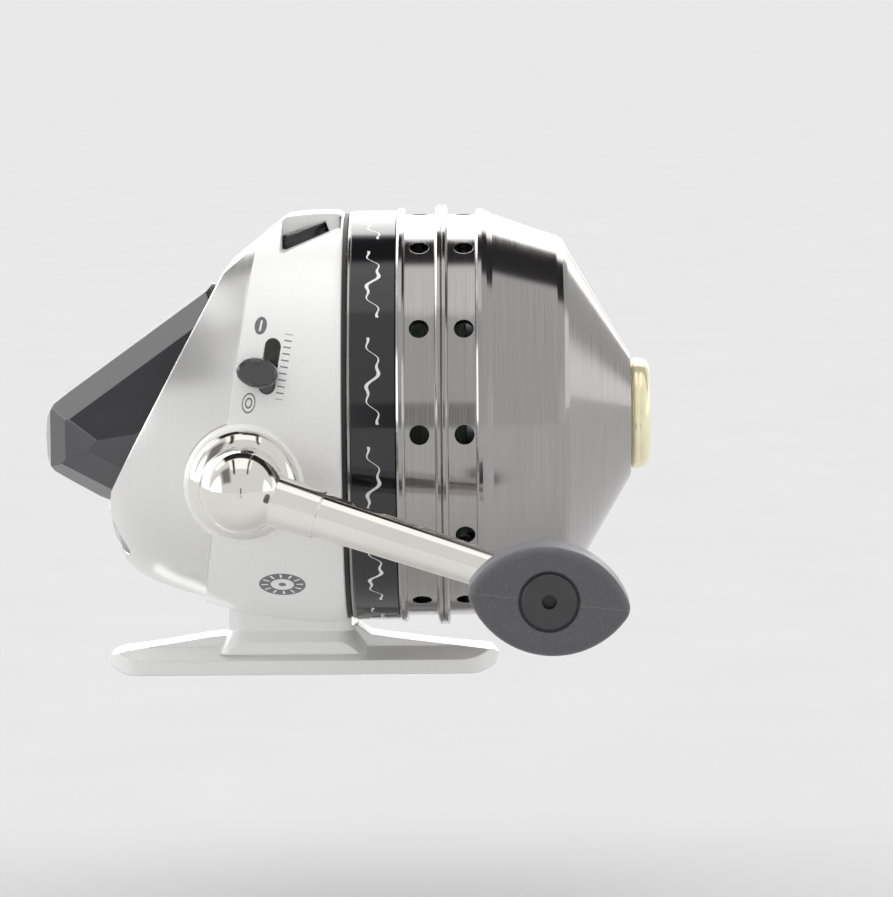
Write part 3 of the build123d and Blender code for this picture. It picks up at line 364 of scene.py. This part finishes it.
def speckled_rubber():
    """Soft knob rubber with fine light specks and a faint mould line along its length."""
    s = Shader("knob_rubber")
    specks = s.noise(6200, 1)
    cloud = s.noise(300, 3)
    split = s.put("ShaderNodeSeparateXYZ", Vector=s.coords)
    tilt = math.radians(KNOB_TILT)
    dx = s.minus(split.outputs["X"], KNOB_X)
    dz = s.minus(split.outputs["Z"], KNOB_Z)
    across = s.plus(s.times(dx, math.sin(tilt)), s.times(dz, math.cos(tilt)))
    mould_line = s.spread(s.math("ABSOLUTE", across), 0.03 * MM, 0.10 * MM, 1.0, 0.0)
    shade = s.mottle(specks, (0.090, 0.088, 0.098), (0.26, 0.26, 0.28), 0.54, 0.72, amount=0.35)
    shade = s.mottle(cloud, shade, (0.115, 0.113, 0.124), amount=0.3)
    shade = s.mix(s.times(mould_line, 0.35), shade, (0.22, 0.22, 0.24))
    grain = s.bump(specks, 0.2, 0.04 * MM, after=s.rounded(0.4))
    return s.finish(
        Base_Color=shade,
        Roughness=s.spread(cloud, 0.3, 0.7, 0.40, 0.50),
        Metallic=0.0,
        Normal=s.bump(mould_line, 0.4, 0.06 * MM, after=grain),
        Sheen_Weight=0.35,
        Sheen_Roughness=0.3)


def button_plastic():
    """Glossy dark grey of the thumb button."""
    s = Shader("button_plastic")
    cloud = s.noise(60, 4)
    fine = s.noise(1600, 2)
    return s.finish(
        Base_Color=s.mottle(cloud, (0.026, 0.026, 0.031), (0.036, 0.036, 0.041)),
        Roughness=s.spread(cloud, 0.3, 0.7, 0.14, 0.20),
        Metallic=0.0,
        Normal=s.bump(fine, 0.02, 0.03 * MM, after=s.rounded(0.3)),
        Coat_Weight=0.8,
        Coat_Roughness=0.06,
        IOR=1.6)


def band_black():
    """Glossy black band with a generic printed wave that is worn in places."""
    s = Shader("band_black")
    x, angle = s.around_axis()
    turns = s.times(angle, BAND_REPEATS)
    wave_phase = s.times(turns, 4 * math.pi)
    curl = s.times(s.math("SINE", s.times(wave_phase, CURLS_PER_WAVE)), CURL_SIZE)
    wave = s.plus(s.times(s.math("SINE", wave_phase), WAVE_SIZE), curl)
    away = s.math("ABSOLUTE", s.minus(s.minus(x, BAND_X), wave))
    half_width = s.math("MULTIPLY_ADD", s.math("COSINE", wave_phase), WAVE_LINE_SWELL, WAVE_LINE_WIDTH)
    in_repeat = s.near_zero(s.minus(s.math("FRACT", turns), 0.5), WAVE_SHARE)
    wear = s.noise(2500, 3)
    mark = s.times(s.times(s.below(away, half_width), in_repeat), s.above(wear, WORN_BELOW))
    smear = s.noise(80, 4)
    return s.finish(
        Base_Color=s.mix(mark, (0.006, 0.006, 0.008), (0.80, 0.80, 0.80)),
        Roughness=s.spread(smear, 0.35, 0.65, 0.06, 0.10),
        Metallic=0.0,
        Normal=s.bump(wear, 0.01, 0.02 * MM),
        IOR=1.65)


def nylon_line():
    """Pale green line, wound strand beside strand."""
    s = Shader("nylon_line")
    x, angle = s.around_axis()
    strand = s.math("SINE", s.times(x, 2 * math.pi / LINE_DIAMETER))
    cloud = s.noise(400, 3)
    return s.finish(
        Base_Color=s.mottle(cloud, (0.42, 0.52, 0.44), (0.60, 0.68, 0.60)),
        Roughness=0.25,
        Metallic=0.0,
        Normal=s.bump(strand, 0.6, 0.1 * MM),
        Transmission_Weight=0.15)


def felt():
    """Fibrous washer of the drag."""
    s = Shader("felt")
    fibres = s.noise(2200, 6, 0.7)
    return s.finish(
        Base_Color=s.mottle(fibres, (0.36, 0.32, 0.26), (0.62, 0.56, 0.48)),
        Roughness=0.95,
        Metallic=0.0,
        Normal=s.bump(fibres, 0.5, 0.1 * MM),
        Sheen_Weight=0.4)


LOOKS = {
    "body_silver": satin_paint(),
    "cover_steel": brushed_steel(),
    "band_black": band_black(),
    "guide_gold": gold_plate(),
    "gasket_rubber": plastic("gasket_rubber", (0.02, 0.02, 0.02), 0.6),
    "button_grey": button_plastic(),
    "wheel_black": plastic("wheel_black", (0.018, 0.018, 0.020), 0.18, coat=0.4),
    "lever_black": plastic("lever_black", (0.030, 0.030, 0.032), 0.10, coat=1.0),
    "chrome": chrome(),
    "knob_rubber": speckled_rubber(),
    "cap_grey": plastic("cap_grey", (0.045, 0.045, 0.048), 0.32),
    "steel": metal("steel", (0.60, 0.60, 0.61), 0.28),
    "bearing_steel": metal("bearing_steel", (0.74, 0.74, 0.75), 0.12),
    "gear_brass": metal("gear_brass", (0.70, 0.54, 0.22), 0.26),
    "frame_grey": metal("frame_grey", (0.42, 0.43, 0.45), 0.45, grain_strength=0.15),
    "spool_alloy": metal("spool_alloy", (0.68, 0.69, 0.71), 0.28),
    "line_nylon": nylon_line(),
    "felt": felt(),
}
LOOKS_OF_SINGLE_PIECES = {
    "rear_cover": brushed_shell(),
    "knob_screw": metal("blackened_steel", (0.05, 0.05, 0.05), 0.35),
}

slot_of = {entry["node"]: entry["material_slot"] for entry in frame["record"]["subparts"]}
for name, node in frame["nodes"].items():
    look = LOOKS_OF_SINGLE_PIECES.get(name, LOOKS[slot_of[name]])
    node.data.materials.clear()
    node.data.materials.append(look)


# ------------------------------------------------------------------------- stage
FLOOR_CORNERS = [(-6, -3), (6, -3), (6, 14), (-6, 14)]      # metres


def build_stage():
    """A plain pale floor that runs on past the top of the view."""
    mesh = bpy.data.meshes.new("floor")
    form = bmesh.new()
    form.faces.new([form.verts.new((x, y, FLOOR_Z)) for x, y in FLOOR_CORNERS])
    form.to_mesh(mesh)
    form.free()
    floor = bpy.data.objects.new("floor", mesh)
    bpy.context.collection.objects.link(floor)
    s = Shader("floor_paper")
    paper = s.noise(30, 3)
    floor.data.materials.append(s.finish(
        Base_Color=s.mix(paper, (0.62, 0.62, 0.625), (0.64, 0.64, 0.645)),
        Roughness=0.9,
        Metallic=0.0,
        Normal=s.bump(paper, 0.01),
        Specular_IOR_Level=0.0))


build_stage()

# ------------------------------------------------------------------ studio lights
FRONT_LEVEL = 0.74                 # dim room in front of the reel
BACK_LEVEL = 1.3                   # pale backdrop behind it
BACKDROP_SPAN = (90.0, 150.0)      # degrees over the top where one becomes the other
BACKDROP_SHOWN = 0.785             # what the camera sees of it
LIGHT_COLOUR = (1.0, 0.995, 0.99)
FILL_LEVEL = 0.62                  # light that matt surfaces get from every side
OVERHEAD_LEVEL = 1.27              # and what the overhead softbox adds
OVERHEAD_SPAN = (60, 125)
OVERHEAD_EDGE = 12.0


class Studio(NodeGraph):
    """World light: softboxes and dark gaps that the reel reflects, seen flat by the camera.

    A direction is given by its angle over the reel, in degrees (0 is the camera's side, 90 is
    straight up and 180 is behind), and by the x part of its unit vector.
    """

    def __init__(self):
        world = bpy.data.worlds.new("studio")
        bpy.context.scene.world = world
        world.use_nodes = True
        super().__init__(world.node_tree)
        direction = self.tree.nodes.new("ShaderNodeTexCoord").outputs["Generated"]
        split = self.put("ShaderNodeSeparateXYZ", Vector=direction)
        self.x = split.outputs["X"]
        to_camera = self.times(split.outputs["Y"], -1.0)
        over = self.math("ARCTAN2", split.outputs["Z"], to_camera)
        self.over = self.times(over, 180 / math.pi)
        self.level = self.fade(self.over, *BACKDROP_SPAN, FRONT_LEVEL, BACK_LEVEL)

    def fade(self, value, low, high, to_low=0.0, to_high=1.0):
        return self.spread(value, low, high, to_low, to_high, interpolation="SMOOTHSTEP")

    def window(self, value, low, high, edge):
        """1 between low and high, fading to 0 over the edge width."""
        rise = self.fade(value, low - edge, low + edge)
        fall = self.fade(value, high - edge, high + edge, 1.0, 0.0)
        return self.times(rise, fall)

    def panel(self, over, x, level, over_edge=2.0, x_edge=0.03):
        """A soft rectangle of light (or of darkness) that covers what is behind it."""
        mask = self.times(self.window(self.over, *over, over_edge), self.window(self.x, *x, x_edge))
        self.level = self.choose(mask, self.level, level)

    def fill(self):
        """Even light for matt surfaces: one wide softbox overhead, so that no side is burnt out."""
        overhead = self.window(self.over, *OVERHEAD_SPAN, OVERHEAD_EDGE)
        return self.plus(FILL_LEVEL, self.times(overhead, OVERHEAD_LEVEL))

    def choose(self, test, otherwise, chosen):
        """The chosen value where the test is 1, and the other one where it is 0."""
        return self.plus(otherwise, self.times(test, self.minus(chosen, otherwise)))

    def finish(self):
        """Glossy rays see the panels, the camera sees the flat backdrop, and all else the fill."""
        path = self.tree.nodes.new("ShaderNodeLightPath")
        reflected = self.choose(path.outputs["Is Glossy Ray"], self.fill(), self.level)
        shown = self.choose(path.outputs["Is Camera Ray"], reflected, BACKDROP_SHOWN)
        light = self.put("ShaderNodeBackground", Color=LIGHT_COLOUR, Strength=shown)
        output = self.tree.nodes.new("ShaderNodeOutputWorld")
        self.link(light.outputs[0], output.inputs["Surface"])


DARK = 0.02
studio = Studio()
# Light over the front half: it makes the pale stripe along the upper side of the cover.
studio.panel(over=(65, 99), x=(-0.42, 0.36), level=1.15)
# Dark gap behind it, which reaches further back for the cone at the nose.
studio.panel(over=(101, 124), x=(-0.5, 0.26), level=DARK)
studio.panel(over=(101, 136), x=(0.26, 0.9), level=DARK)
# Light over the rear slope of the body.
studio.panel(over=(96, 112), x=(-0.78, -0.54), level=1.6)
# Bright softbox behind the reel, which fades to the nose: it lights all upper rims.
studio.panel(over=(127, 173), x=(-0.95, 0.26), level=5.0)
studio.panel(over=(138, 173), x=(0.26, 0.45), level=2.6)
studio.panel(over=(138, 173), x=(0.45, 0.78), level=0.6)
# Shade on the side of the rear cover.
studio.panel(over=(28, 76), x=(-0.74, -0.44), level=0.20, over_edge=6.0, x_edge=0.06)
# Lights at both ends of the reel.
studio.panel(over=(-20, 66), x=(-1.1, -0.82), level=3.2, over_edge=4.0, x_edge=0.05)
studio.panel(over=(-20, 60), x=(0.88, 1.1), level=1.5, over_edge=4.0, x_edge=0.04)
# The camera itself, a dark spot in the chrome hub.
studio.panel(over=(-2, 12), x=(-0.025, 0.025), level=DARK, over_edge=1.0, x_edge=0.01)
# Dark edges of the front light, which draw thin lines in the grooves and the hub.
for edge_of_light in ((-0.32, -0.24), (0.24, 0.30)):
    studio.panel(over=(50, 99), x=edge_of_light, level=2 * DARK, over_edge=3.0, x_edge=0.02)
studio.finish()


# ------------------------------------------------------------------------ camera
def build_camera():
    """A long lens in front of the reel, slightly above it and rolled a little."""
    data = bpy.data.cameras.new("camera")
    data.lens = CAMERA_LENS
    data.sensor_width = 36
    data.sensor_fit = "HORIZONTAL"
    data.clip_start = 0.01
    camera = bpy.data.objects.new("camera", data)
    bpy.context.collection.objects.link(camera)
    elevation = math.radians(CAMERA_ELEVATION)
    azimuth = math.radians(CAMERA_AZIMUTH)
    roll = math.radians(CAMERA_ROLL)
    to_camera = Vector((
        math.sin(azimuth) * math.cos(elevation),
        -math.cos(azimuth) * math.cos(elevation),
        math.sin(elevation)))
    right = Vector((math.cos(azimuth), math.sin(azimuth), 0))
    up = to_camera.cross(right)
    centre = Vector((VIEW_CENTRE_X, 0, AXIS_Z)) - up * VIEW_CENTRE_DOWN
    rolled_right = right * math.cos(roll) - up * math.sin(roll)
    rolled_up = right * math.sin(roll) + up * math.cos(roll)
    turn = Matrix((rolled_right, rolled_up, to_camera)).transposed().to_4x4()
    camera.matrix_world = Matrix.Translation(centre + to_camera * CAMERA_DISTANCE) @ turn
    return camera


bpy.context.scene.camera = build_camera()
bpy.context.scene.view_settings.view_transform = "Standard"
